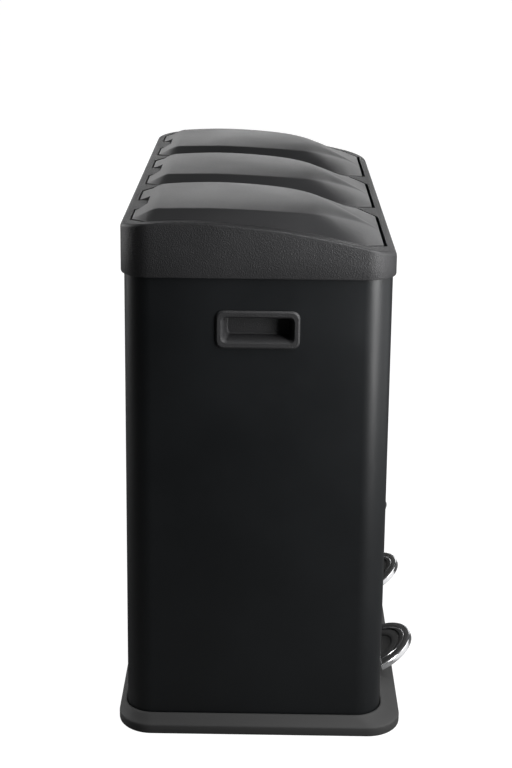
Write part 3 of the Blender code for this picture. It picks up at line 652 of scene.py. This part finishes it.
def collar_surface(sizes):
    """Top plate with three openings, fillet and outer wall, groove for the body, and deck.

    The plate is a grid of rows in y and columns between anchors: both ends, and for each
    opening its two sides, its tab's two sides and the rod slot's two sides. The same grid
    serves the deck below, with the opening's outline drawn in to the bucket's mouth.
    """
    rows, ends, turns, radii = collar_rows(sizes)
    count = len(rows)
    half, tab = opening_half(rows), tab_half(rows)
    mouth = MOUTH_HALF - MOUTH_CUT * front_share(rows)
    rod_slot = (-0.032, -0.025, 0.004, 0.011)
    top, deck = [-ends], [-ends]
    for turn in SIDES.values():
        x = turn * PITCH
        top += [x - half, x - tab, x - tab * 0.6, x + tab * 0.6, x + tab, x + half]
        deck += [x - mouth, *(np.full(count, x + at) for at in rod_slot), x + mouth]
    top, deck = np.stack(top + [ends], axis=1), np.stack(deck + [ends], axis=1)

    # Parts of the plate from end to end: the end, then per opening its side, tab and side
    end_parts, side_parts, tab_parts, bar_parts = 4, 10, 3, 2
    opening = [side_parts, tab_parts, tab_parts, tab_parts, side_parts]
    parts = [end_parts, *opening, bar_parts, *opening, bar_parts, *opening, end_parts]
    interval = np.repeat(np.arange(len(parts)), parts)
    x_top, x_deck = between(top, parts), between(deck, parts)
    columns = x_top.shape[1]
    y_top = np.repeat(rows[:, None], columns, axis=1)

    # The deck's hole ends ahead of the hinge, except where the rod's slot runs on to the rear
    marks = [rows[0], OPENING_FRONT, OPENING_FRONT_CUT_END, TAB_FRONT, OPENING_REAR, rows[-1]]
    plain = np.interp(rows, marks, [rows[0], -0.137, -0.119, 0.1010, 0.1015, rows[-1]])
    slotted = np.interp(rows, marks, [rows[0], -0.137, -0.119, 0.1300, 0.1305, rows[-1]])
    in_slot = np.isin(interval, [3, 9, 15])
    slot_column = np.append(in_slot, False) | np.append(False, in_slot)
    y_deck = np.where(slot_column[None, :], slotted[:, None], plain[:, None])

    middle = (rows[:-1] + rows[1:])[:, None] / 2
    open_wide = np.isin(interval, [1, 5, 7, 11, 13, 17])
    open_tab = np.isin(interval, [2, 3, 4, 8, 9, 10, 14, 15, 16])
    keep = ~(open_wide & (abs(middle) < OPENING_REAR))
    keep &= ~(open_tab & (middle > OPENING_FRONT) & (middle < TAB_FRONT))
    plate = grid_quads(count, columns, keep=keep)
    levels = [(x_top, y_top, collar_top(y_top)), (x_top, y_top, DECK_TOP), (x_deck, y_deck, DECK_TOP),
              (x_deck, y_deck, DECK_LOW)]
    grids = [np.stack(np.broadcast_arrays(*level), axis=-1).reshape(-1, 3) for level in levels]
    size = count * columns

    # Points round the plate's outside, and the way outwards at each
    rim = np.concatenate([
        np.arange(count) * columns,
        (count - 1) * columns + np.arange(1, columns),
        np.arange(count - 2, -1, -1) * columns + columns - 1,
        np.arange(columns - 2, 0, -1)])
    row, column = rim // columns, rim % columns
    side = np.where(column == 0, -1.0, np.where(column == columns - 1, 1.0, 0.0))
    end_row = (row == 0) | (row == count - 1)
    along = np.where(row == 0, -1.0, 1.0)
    direction = np.column_stack([
        np.where(end_row, 0.0, side * np.cos(turns[row])),
        np.where(end_row, along, np.sin(turns[row]))])

    # Fillet, outer wall, its lower edge, and the groove up to the deck's underside
    radius = radii[row][:, None]
    start = grids[0][rim]
    sections = []
    for angle in np.linspace(0, math.pi / 2, 7)[1:]:
        outward = start[:, :2] + direction * radius * math.sin(angle)
        height = start[:, 2:] - radius * (1 - math.cos(angle))
        sections.append(np.hstack([outward, height]))
    face, fillet_end = sections[-1][:, :2], sections[-1][:, 2]
    sections.append(in_plan(face, (fillet_end + COLLAR_BOTTOM) / 2))
    for inset, height in ((0.0, COLLAR_BOTTOM + 0.0012), (0.0004, COLLAR_BOTTOM + 0.0003),
                          (0.0012, COLLAR_BOTTOM), (COLLAR_WALL, COLLAR_BOTTOM + 0.0003),
                          (COLLAR_WALL, GROOVE_TOP), (GROOVE_IN, GROOVE_TOP)):
        sections.append(in_plan(face - direction * inset, height))
    grids[3][rim] = in_plan(face - direction * GROOVE_IN, DECK_LOW)

    edges = open_edges(plate)
    on_rim = np.zeros(size, bool)
    on_rim[rim] = True
    inner = edges[~(on_rim[edges].all(axis=1))]
    faces = [plate, plate[:, ::-1] + 3 * size]
    faces += [band(inner, level, level + 1, size) for level in range(3)]
    loops = [rim, *(4 * size + k * len(rim) + np.arange(len(rim)) for k in range(len(sections)))]
    loops.append(rim + 3 * size)
    for low, high in zip(loops, loops[1:]):
        faces.append(np.stack([low, np.roll(low, -1), np.roll(high, -1), high], axis=-1))
    return np.concatenate(grids + sections), np.concatenate(faces)


# ---- Lids -------------------------------------------------------------------------------
def lid_half(y):
    """Half width of the lid at y, less where its corners are cut."""
    front_cut = LID_FRONT_CUT[0] * np.clip(1 - (y - LID_FRONT) / LID_FRONT_CUT[1], 0, 1)
    rear_cut = LID_REAR_CUT[0] * np.clip(1 - (LID_REAR - y) / LID_REAR_CUT[1], 0, 1)
    return LID_HALF_X - np.maximum(front_cut, rear_cut)


def through(stations, values, at):
    """Smooth curve through values at stations: cubic Hermite with finite-difference slopes."""
    slopes = np.gradient(values, stations)
    index = np.clip(np.searchsorted(stations, at) - 1, 0, len(stations) - 2)
    gap = stations[index + 1] - stations[index]
    t = (at - stations[index]) / gap
    start = (1 + 2 * t) * (1 - t) ** 2 * values[index] + t * (1 - t) ** 2 * gap * slopes[index]
    end = t * t * (3 - 2 * t) * values[index + 1] - t * t * (1 - t) * gap * slopes[index + 1]
    return start + end


def crease(y):
    """Half width of the raised field, height of its crease and rise of its crown, at y."""
    stations, *columns = LID_STATIONS.T
    return [through(stations, column, np.clip(y, LID_FRONT, stations[-1])) for column in columns]


def lid_height(x, y):
    """Crowned field between two creases, and slopes that fall from them to the side edges.

    The rise is a straight share of the way in from the side edge, plus the crown, which falls
    off with the square of x. To the front that share turns into the sine of a quarter turn, so
    that the slopes bend over into the field, and at the rear the whole rise fades out.
    """
    bend_start, bend_length, fade_length = -0.050, 0.050, 0.030
    edge, rim = lid_half(y), collar_top(y)
    half, height, crown = crease(y)
    share = np.clip((edge - abs(x)) / (edge - half), 0, 1)
    bend = ease((bend_start - y) / bend_length)
    rise = (1 - bend) * share + bend * np.sin(share * math.pi / 2)
    top = (height - rim) * rise + crown * np.clip(1 - (x / half) ** 2, 0, 1) ** (1 + bend)
    return rim + top * ease((LID_REAR - y) / fade_length)


def lid_surface(turn, sizes):
    """Top skin, skirt and underside as equal grids; the notch round the hinge tab is left out.

    Columns divide the gaps between the side edges, the creases and the notch's sides, and the
    skirt is the same outline drawn in by its wall.
    """
    cut_end, fine_start, fine_end = LID_FRONT + LID_FRONT_CUT[1], 0.100, 0.127
    rows = np.concatenate([
        np.linspace(LID_FRONT, cut_end, 9), np.linspace(cut_end, fine_start, 62)[1:],
        np.linspace(fine_start, fine_end, 14)[1:],
        [NOTCH_FRONT, 0.1335, 0.137, 0.1405, LID_REAR]])
    half, field = lid_half(rows), np.maximum(crease(rows)[0], 0.004)
    beside_notch = rows > NOTCH_FRONT - 0.0001
    notch = np.where(beside_notch, NOTCH_HALF + NOTCH_FLARE * (rows - NOTCH_FRONT),
                     np.minimum(NOTCH_HALF, field * 0.5))
    parts = [14] * 5
    x = between(np.stack([-half, -field, -notch, notch, field, half], axis=1), parts)
    y = np.repeat(rows[:, None], x.shape[1], axis=1)
    z = lid_height(x, y)
    interval = np.repeat(np.arange(len(parts)), parts)
    middle = (rows[:-1] + rows[1:])[:, None] / 2
    plate = grid_quads(*x.shape, keep=~((interval == 2) & (middle > NOTCH_FRONT)))

    at_notch = (abs(x) < notch[:, None] + 1e-6) & beside_notch[:, None]
    deep = np.where(at_notch, sizes.notch_skirt, sizes.lid_skirt)
    x_in = x * (1 - SKIRT_WALL / LID_HALF_X)
    y_in = y * (1 - SKIRT_WALL / ((LID_REAR - LID_FRONT) / 2))
    levels = [(x, y, z), (x, y, z - deep), (x_in, y_in, z - deep), (x_in, y_in, z - sizes.lid_skin)]
    grids = [np.stack(level, axis=-1).reshape(-1, 3) for level in levels]
    edges = open_edges(plate)
    faces = [plate, plate[:, ::-1] + 3 * x.size]
    faces += [band(edges, level, level + 1, x.size) for level in range(3)]
    return np.concatenate(grids) + [turn * PITCH, 0.0, 0.0], np.concatenate(faces)


def tube_x(radius, bore, ends, centre, sides=32):
    """Tube along X: circles from the bore, out over both bevelled ends and back to the bore."""
    turn = np.linspace(0, 2 * math.pi, sides, endpoint=False)
    circle = np.column_stack([np.cos(turn), np.sin(turn)])
    bevel = 0.0004
    profile = ((bore, ends[0]), (radius - bevel, ends[0]), (radius, ends[0] + bevel),
               (radius, ends[1] - bevel), (radius - bevel, ends[1]), (bore, ends[1]))
    return loft_ring([np.column_stack([np.full(sides, x), circle * r + centre]) for r, x in profile])


def lug_surface(turn):
    """Upright rib under the lid with the slot that the push rod's end moves in.

    The rib's outline is four quarter ovals of the reaches given below, at the slot's angles.
    """
    slot = rounded_rectangle(*LUG_SLOT_HALF, LUG_SLOT_CORNER, LUG_SLOT, steps=6)
    away = slot - LUG_SLOT
    angles = np.arctan2(away[:, 1], away[:, 0])
    reach = np.column_stack([np.cos(angles), np.sin(angles)])
    behind, ahead, above, below = 0.0092, 0.0096, 0.0175, 0.0120
    outline = LUG_MIDDLE + reach * np.where(reach > 0, [behind, above], [ahead, below])
    near, far = LUG_ENDS
    loops = ((slot, near), (outline, near), (outline, far), (slot, far))
    return loft_ring([np.column_stack([np.full(len(loop), turn * PITCH + x), loop]) for loop, x in loops])


# ---- Grip cups and buckets --------------------------------------------------------------
def grip_surface(hand):
    """Moulded cup with a flange, sunk in an end of the body: rounded rectangles in depth.

    A section is (half width, half height, corner radius, depth inside the body's face), from
    the cup's floor out over the flange and back along its outside.
    """
    sections = []
    for half_y, half_z, radius, depth in (
            (0.0340, 0.0090, 0.004, 0.0178), (0.0352, 0.0102, 0.005, 0.0172),
            (0.0390, 0.0132, 0.005, 0.0010), (0.0400, 0.0142, 0.0055, -0.0008),
            (0.0415, 0.0155, 0.006, -0.0025), (0.0455, 0.0202, 0.008, -0.0027),
            (0.0475, 0.0222, 0.009, -0.0012), (0.0475, 0.0222, 0.009, -0.0003),
            (0.0416, 0.0156, 0.006, -0.0003), (0.0416, 0.0156, 0.006, 0.0012),
            (0.0370, 0.0120, 0.006, 0.0198)):
        outline = rounded_rectangle(half_y, half_z, radius, (0.0, GRIP_Z))
        x = hand * (BODY_HALF[0] - depth)
        sections.append(np.column_stack([np.full(len(outline), x), outline]))
    return loft(sections)


def bucket_surface(turn):
    """Lift-out bucket: rounded rectangles from the outer floor, round the rim, to the inner floor.

    A section is (half width, half depth, corner radius, height).
    """
    floor, ledge, centre = 0.098, DECK_TOP + 0.0003, (turn * PITCH, -0.018)
    sections = []
    for half_x, half_y, radius, height in (
            (0.0790, 0.1050, 0.022, floor), (0.0812, 0.1072, 0.0235, floor + 0.0010),
            (0.0822, 0.1082, 0.0242, floor + 0.0040), (0.0900, 0.1165, 0.0280, ledge),
            (0.0964, 0.1229, 0.0336, ledge), (0.0970, 0.1235, 0.0340, ledge + 0.0008),
            (0.0970, 0.1235, 0.0340, ledge + 0.0020), (0.0962, 0.1227, 0.0334, ledge + 0.0029),
            (0.0948, 0.1213, 0.0322, ledge + 0.0032), (0.0892, 0.1157, 0.0272, ledge + 0.0030),
            (0.0882, 0.1147, 0.0262, ledge + 0.0022), (0.0804, 0.1064, 0.0222, floor + 0.0060),
            (0.0792, 0.1052, 0.0212, floor + 0.0036), (0.0770, 0.1030, 0.0200, floor + 0.0026)):
        outline = rounded_rectangle(half_x, half_y, radius, centre)
        sections.append(in_plan(outline, height))
    return loft(sections)


# ---- Pedals -----------------------------------------------------------------------------
def on_plate(points, heights, turn):
    """Carry (u, v) points of the pedal plate, at heights over its top plane, into the plan."""
    cos_t, sin_t = math.cos(PEDAL_TILT), math.sin(PEDAL_TILT)
    cy, cz = PEDAL_CENTRE
    u, v = points[:, 0], points[:, 1]
    return np.column_stack([turn * PITCH + u, cy - v * cos_t + heights * sin_t,
                            cz + v * sin_t + heights * cos_t])


def oval_arc(half_u, half_v, rear, steps=72):
    """Front part of an oval, from its cut at rear round to the other end of the cut."""
    start = math.asin(rear / half_v)
    angles = np.linspace(start, math.pi - start, steps + 1)
    return np.column_stack([half_u * np.cos(angles), half_v * np.sin(angles)])


def rim_surface(turn, sizes):
    """Chrome pan: half ovals from the inside of its skirt, over the rounded edge, to its floor.

    Each row is (distance inside the pan's outline, height over its top plane); where the lever
    enters, the skirt's rear edge is raised.
    """
    half_u, half_v = PEDAL_HALF
    edge, gate_height = sizes.chrome_edge, -0.0046
    profile = [(0.0016, -0.0047), (0.0016, -0.0066), (0.0013, -0.0068), (0.0004, -0.0068), (0.0, -0.0064)]
    for angle in np.linspace(0, math.pi / 2, 6):
        profile.append((edge * (1 - math.cos(angle)), -edge * (1 - math.sin(angle))))
    profile += [(0.0018, 0.0), (0.0021, -0.0001), (0.0022, -0.0004), (0.0022, -0.0032)]
    gate = np.array([-LEVER_GATE - 0.0001, -LEVER_GATE + 0.0001, -0.004, 0.004,
                     LEVER_GATE - 0.0001, LEVER_GATE + 0.0001])
    sections = []
    for inset, height in profile:
        rear = RIM_REAR + inset
        arc = oval_arc(half_u - inset, half_v - inset, rear)
        chord = np.column_stack([gate, np.full(len(gate), rear)])
        outline = np.concatenate([arc, chord])
        heights = np.full(len(outline), height)
        in_gate = (abs(outline[:, 0]) < LEVER_GATE) & (outline[:, 1] <= rear)
        heights[in_gate] = np.maximum(heights[in_gate], gate_height)
        sections.append(on_plate(outline, heights, turn))
    return loft(sections)


def pad_surface(turn):
    """Rubber pad: half ovals that shrink to the rear line, with a groove and a recess on the way.

    Each row is (distance inside the pan's outline, height over its top plane). The underside
    is the same grid, laid flat at the first row's height.
    """
    half_u, half_v = PEDAL_HALF
    profile = (
        (0.0025, -0.0029), (0.0025, -0.0003), (0.0028, 0.0001), (0.0034, 0.0004), (0.0080, 0.0006),
        (0.01275, 0.0004), (0.0129, -0.0016), (0.01545, -0.0016), (0.0156, 0.0003), (0.0205, 0.0005),
        (0.0240, 0.0004), (0.0246, 0.0001), (0.0250, -0.0006), (0.0256, -0.0018), (0.0262, -0.0021),
        (0.0330, -0.0021), (0.0400, -0.0021), (0.0406, -0.0021))
    sections = []
    for inset, height in profile:
        arc = oval_arc(half_u - inset, half_v - inset, PAD_REAR)
        sections.append(on_plate(arc, np.full(len(arc), height), turn))
    grid, heights = np.asarray(sections), np.array([height for _, height in profile])
    rows, columns = grid.shape[:2]
    upright = np.array([0.0, math.sin(PEDAL_TILT), math.cos(PEDAL_TILT)])
    below = grid - (heights - heights[0])[:, None, None] * upright
    points = np.concatenate([grid.reshape(-1, 3), below.reshape(-1, 3)])
    top = grid_quads(rows, columns)
    edges = open_edges(top)
    sides = edges[~(edges < columns).all(axis=1)]
    walls = band(sides, 0, 1, rows * columns)
    return points, np.concatenate([top, top[:, ::-1] + rows * columns, walls])


def ring_surface(turn):
    """Chrome inlay: a rounded bar section carried along the open half oval.

    A point of the section is (distance inside the ring's outline, height over the top plane).
    """
    section = ((0.0002, -0.0013), (0.0, -0.0011), (0.0, 0.0003), (0.0003, 0.0007), (0.00095, 0.0009),
               (0.0016, 0.0007), (0.0019, 0.0003), (0.0019, -0.0011), (0.0017, -0.0013))
    lines = []
    for inset, height in section:
        arc = oval_arc(RING_HALF[0] - inset, RING_HALF[1] - inset, RING_REAR)
        lines.append(on_plate(arc, np.full(len(arc), height), turn))
    return loft(np.stack(lines, axis=1))


# ---- Operators --------------------------------------------------------------------------
class BIN_OT_body(bpy.types.Operator):
    """Make the coated steel body"""
    bl_idname = "bin.body"
    bl_label = "Body"

    def execute(self, context):
        sizes = context.scene.bin_sizes
        make_piece("steel_body", *body_surface(), powder_coat(), "casing", "body_steel",
                   ["body_shell"], [wall(sizes.sheet), split_edges()])
        return {"FINISHED"}


class BIN_OT_base(bpy.types.Operator):
    """Make the plastic skirt that the body stands in"""
    bl_idname = "bin.base"
    bl_label = "Base"

    def execute(self, context):
        make_piece("base_skirt", *base_surface(), base_plastic(), "casing", "base_plastic", ["base_tray"])
        return {"FINISHED"}


class BIN_OT_collar(bpy.types.Operator):
    """Make the grained collar with its three openings"""
    bl_idname = "bin.collar"
    bl_label = "Collar"

    def execute(self, context):
        sizes = context.scene.bin_sizes
        make_piece("top_collar", *collar_surface(sizes), grained_plastic(), "casing", "collar_plastic",
                   ["collar_frame"], [rounded_edges(sizes.opening_edge, 2, 60)])
        return {"FINISHED"}


class BIN_OT_grips(bpy.types.Operator):
    """Make the grip cup in each end of the body"""
    bl_idname = "bin.grips"
    bl_label = "Grip cups"

    def execute(self, context):
        sizes = context.scene.bin_sizes
        for side, hand in (("left", -1), ("right", 1)):
            make_piece(f"grip_cup_{side}", *grip_surface(hand), grained_plastic(), "casing",
                       "collar_plastic", [f"side_handle_{side}"], [rounded_edges(sizes.grip_edge, 3, 25)])
        return {"FINISHED"}


class BIN_OT_lids(bpy.types.Operator):
    """Make the three domed lids with their knuckles and lugs"""
    bl_idname = "bin.lids"
    bl_label = "Lids"

    def execute(self, context):
        sizes = context.scene.bin_sizes
        plastic = lid_plastic()
        for side, turn in SIDES.items():
            body = f"cover_{side}"
            make_piece(f"domed_lid_{side}", *lid_surface(turn, sizes), plastic, body, "lid_plastic",
                       [f"lid_{side}"], [rounded_edges(sizes.lid_edge)])
            make_piece(f"lid_lug_{side}", *lug_surface(turn), plastic, body, "lid_plastic")
            for label, hand in (("a", -1), ("b", 1)):
                ends = sorted(turn * PITCH + hand * end for end in KNUCKLE_ENDS)
                knuckle = tube_x(KNUCKLE_RADIUS, PIN_BORE, ends, (PIN_Y, PIN_Z))
                make_piece(f"lid_knuckle_{side}_{label}", *knuckle, plastic, body, "lid_plastic")
        return {"FINISHED"}


class BIN_OT_buckets(bpy.types.Operator):
    """Make the three lift-out buckets"""
    bl_idname = "bin.buckets"
    bl_label = "Buckets"

    def execute(self, context):
        for side, turn in SIDES.items():
            make_piece(f"bucket_{side}", *bucket_surface(turn), bucket_plastic(), "casing",
                       "bucket_plastic", [f"inner_bucket_{side}"])
        return {"FINISHED"}


class BIN_OT_pedals(bpy.types.Operator):
    """Make each pedal's chrome pan, rubber pad and chrome inlay"""
    bl_idname = "bin.pedals"
    bl_label = "Pedals"

    def execute(self, context):
        sizes = context.scene.bin_sizes
        for side, turn in SIDES.items():
            body = f"pedal_{side}"
            make_piece(f"chrome_pan_{side}", *rim_surface(turn, sizes), chrome_plate(), body,
                       "pedal_chrome", [f"pedal_rim_{side}"])
            make_piece(f"rubber_pad_{side}", *pad_surface(turn), pad_rubber(), body,
                       "pedal_rubber", [f"pedal_pad_{side}"])
            make_piece(f"chrome_inlay_{side}", *ring_surface(turn), chrome_plate(), body,
                       "pedal_chrome", [f"pedal_ring_{side}"])
        return {"FINISHED"}


class BIN_OT_hardware(bpy.types.Operator):
    """Finish the levers, rods, pins, brackets, screws and feet of the frame"""
    bl_idname = "bin.hardware"
    bl_label = "Hardware"

    def execute(self, context):
        for name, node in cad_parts.items():
            if node.hide_render:
                continue
            material = foot_rubber() if name.startswith("rubber_foot") else zinc_plate()
            node.data.materials.clear()
            node.data.materials.append(material)
        return {"FINISHED"}


class BIN_OT_stage(bpy.types.Operator):
    """Make the floor, the studio light and the camera"""
    bl_idname = "bin.stage"
    bl_label = "Stage"

    def execute(self, context):
        add_floor()
        add_world()
        add_lights()
        add_camera(context.scene)
        return {"FINISHED"}


# ---- Stage ------------------------------------------------------------------------------
def add_floor():
    """Wide floor that lights the bin as a dark one does, and that the camera sees as white."""
    mesh = bpy.data.meshes.new("floor")
    far = 30.0
    mesh.from_pydata([(-far, -far, 0.0), (far, -far, 0.0), (far, far, 0.0), (-far, far, 0.0)], [],
                     [(0, 1, 2, 3)])
    material = bpy.data.materials.new("pale_floor")
    material.use_nodes = True
    tree = material.node_tree
    shader = tree.nodes["Principled BSDF"]
    shader.inputs["Base Color"].default_value = (0.12, 0.12, 0.12, 1)
    shader.inputs["Roughness"].default_value = 0.9
    glow = tree.nodes.new("ShaderNodeEmission")
    glow.inputs["Strength"].default_value = 1.0
    path = tree.nodes.new("ShaderNodeLightPath")
    total = tree.nodes.new("ShaderNodeAddShader")
    choice = tree.nodes.new("ShaderNodeMixShader")
    tree.links.new(shader.outputs["BSDF"], total.inputs[0])
    tree.links.new(glow.outputs["Emission"], total.inputs[1])
    tree.links.new(path.outputs["Is Camera Ray"], choice.inputs["Fac"])
    tree.links.new(shader.outputs["BSDF"], choice.inputs[1])
    tree.links.new(total.outputs["Shader"], choice.inputs[2])
    tree.links.new(choice.outputs["Shader"], tree.nodes["Material Output"].inputs["Surface"])
    mesh.materials.append(material)
    floor = bpy.data.objects.new("floor", mesh)
    bpy.context.scene.collection.objects.link(floor)


def add_world():
    """White surroundings for the camera, dim grey ones as light."""
    world = bpy.data.worlds.new("studio")
    bpy.context.scene.world = world
    world.use_nodes = True
    tree = world.node_tree
    seen = tree.nodes["Background"]
    seen.inputs["Color"].default_value = (1, 1, 1, 1)
    seen.inputs["Strength"].default_value = 1.0
    dim = tree.nodes.new("ShaderNodeBackground")
    dim.inputs["Color"].default_value = (0.92, 0.96, 1.0, 1)
    dim.inputs["Strength"].default_value = 0.03
    path = tree.nodes.new("ShaderNodeLightPath")
    choice = tree.nodes.new("ShaderNodeMixShader")
    tree.links.new(path.outputs["Is Camera Ray"], choice.inputs["Fac"])
    tree.links.new(dim.outputs["Background"], choice.inputs[1])
    tree.links.new(seen.outputs["Background"], choice.inputs[2])
    tree.links.new(choice.outputs["Shader"], tree.nodes["World Output"].inputs["Surface"])


def add_lights():
    """Soft boxes as (name, place, point aimed at, width, height, power)."""
    for name, place, aim, width, height, power in (
            ("right_strip", (-0.60, -0.41, 0.66), (-0.30, -0.12, 0.42), 0.22, 1.00, 8.5),
            ("low_front", (-0.35, -1.10, 0.16), (-0.25, -0.20, 0.06), 1.4, 0.50, 2.4),
            ("front_box", (0.3, -2.6, 1.3), (0.0, -0.1, 0.5), 2.2, 1.6, 30.0),
            ("horizon_panel", (3.4, -0.2, 1.28), (0.0, 0.0, 0.62), 4.5, 0.6, 27.0),
            ("upper_panel", (3.4, 0.0, 1.90), (0.0, 0.0, 0.62), 4.5, 0.6, 6.0),
            ("left_rear", (0.55, 2.0, 0.9), (-0.3, 0.1, 0.4), 0.8, 2.0, 10.0),
            ("rear_fill", (1.2, 2.8, 1.3), (0.1, 0.0, 0.35), 2.4, 1.6, 45.0),
            ("overhead", (0.0, 0.0, 3.2), (0.0, 0.0, 0.0), 3.0, 3.0, 3.0)):
        light = bpy.data.lights.new(name, "AREA")
        light.shape = "RECTANGLE"
        light.size, light.size_y = width, height
        light.energy = power
        lamp = bpy.data.objects.new(name, light)
        at, towards = np.array(place), np.array(aim)
        lamp.matrix_world = facing(at, towards - at)
        lamp.visible_camera = False
        bpy.context.scene.collection.objects.link(lamp)


def facing(place, forward, roll=0.0):
    """Matrix of a lamp or camera at a place that looks along forward, turned by roll."""
    forward = forward / np.linalg.norm(forward)
    upright = np.array([0.0, 1.0, 0.0] if abs(forward[2]) > 0.99 else [0.0, 0.0, 1.0])
    right = np.cross(forward, upright)
    right = right / np.linalg.norm(right)
    up = np.cross(right, forward)
    across = math.cos(roll) * right + math.sin(roll) * up
    upward = -math.sin(roll) * right + math.cos(roll) * up
    rotation = np.column_stack([across, upward, -forward])
    matrix = Matrix(rotation.tolist()).to_4x4()
    matrix.translation = place.tolist()
    return matrix


def add_camera(scene):
    """Camera at the left end, a little above the lids, looking along the bin."""
    place = np.array([-1.91721, 0.00800, 0.98179])
    down, yaw, roll = (math.radians(angle) for angle in (13.0175, 0.452, 0.617))
    forward = np.array([math.cos(down) * math.cos(yaw), math.cos(down) * math.sin(yaw), -math.sin(down)])
    lens = bpy.data.cameras.new("camera")
    lens.lens, lens.sensor_width = 69.91, 36.0
    lens.shift_y = -0.2
    lens.clip_start, lens.clip_end = 0.05, 100.0
    camera = bpy.data.objects.new("camera", lens)
    camera.matrix_world = facing(place, forward, roll)
    scene.collection.objects.link(camera)
    scene.camera = camera
    scene.view_settings.view_transform = "Standard"


class BIN_PT_panel(bpy.types.Panel):
    """Lists the bin's pieces, sizes and colours"""
    bl_idname = "BIN_PT_panel"
    bl_label = "Sorting Bin"
    bl_space_type = "VIEW_3D"
    bl_region_type = "UI"
    bl_category = "Sorting Bin"

    def draw(self, context):
        for operator in OPERATORS:
            self.layout.operator(operator.bl_idname)
        for group in (context.scene.bin_sizes, context.scene.bin_colours):
            box = self.layout.box()
            for key in group.bl_rna.properties.keys():
                if key not in ("rna_type", "name"):
                    box.prop(group, key)


OPERATORS = (BIN_OT_body, BIN_OT_base, BIN_OT_collar, BIN_OT_grips, BIN_OT_lids, BIN_OT_buckets,
             BIN_OT_pedals, BIN_OT_hardware, BIN_OT_stage)
CLASSES = (BinSizes, BinColours, *OPERATORS, BIN_PT_panel)


def register():
    """Make the classes known and hang the settings on the scene."""
    for cls in CLASSES:
        bpy.utils.register_class(cls)
    bpy.types.Scene.bin_sizes = PointerProperty(type=BinSizes)
    bpy.types.Scene.bin_colours = PointerProperty(type=BinColours)


def unregister():
    """Take the settings and the classes away again."""
    del bpy.types.Scene.bin_colours
    del bpy.types.Scene.bin_sizes
    for cls in reversed(CLASSES):
        bpy.utils.unregister_class(cls)


def corners(box):
    """A box's low and high corners as plain lists."""
    return [list(map(float, corner)) for corner in box]


def main():
    """Make every piece and the stage."""
    register()
    bpy.ops.bin.body()
    bpy.ops.bin.base()
    bpy.ops.bin.collar()
    bpy.ops.bin.grips()
    bpy.ops.bin.lids()
    bpy.ops.bin.buckets()
    bpy.ops.bin.pedals()
    bpy.ops.bin.hardware()
    bpy.ops.bin.stage()


if __name__ == "__main__":
    main()
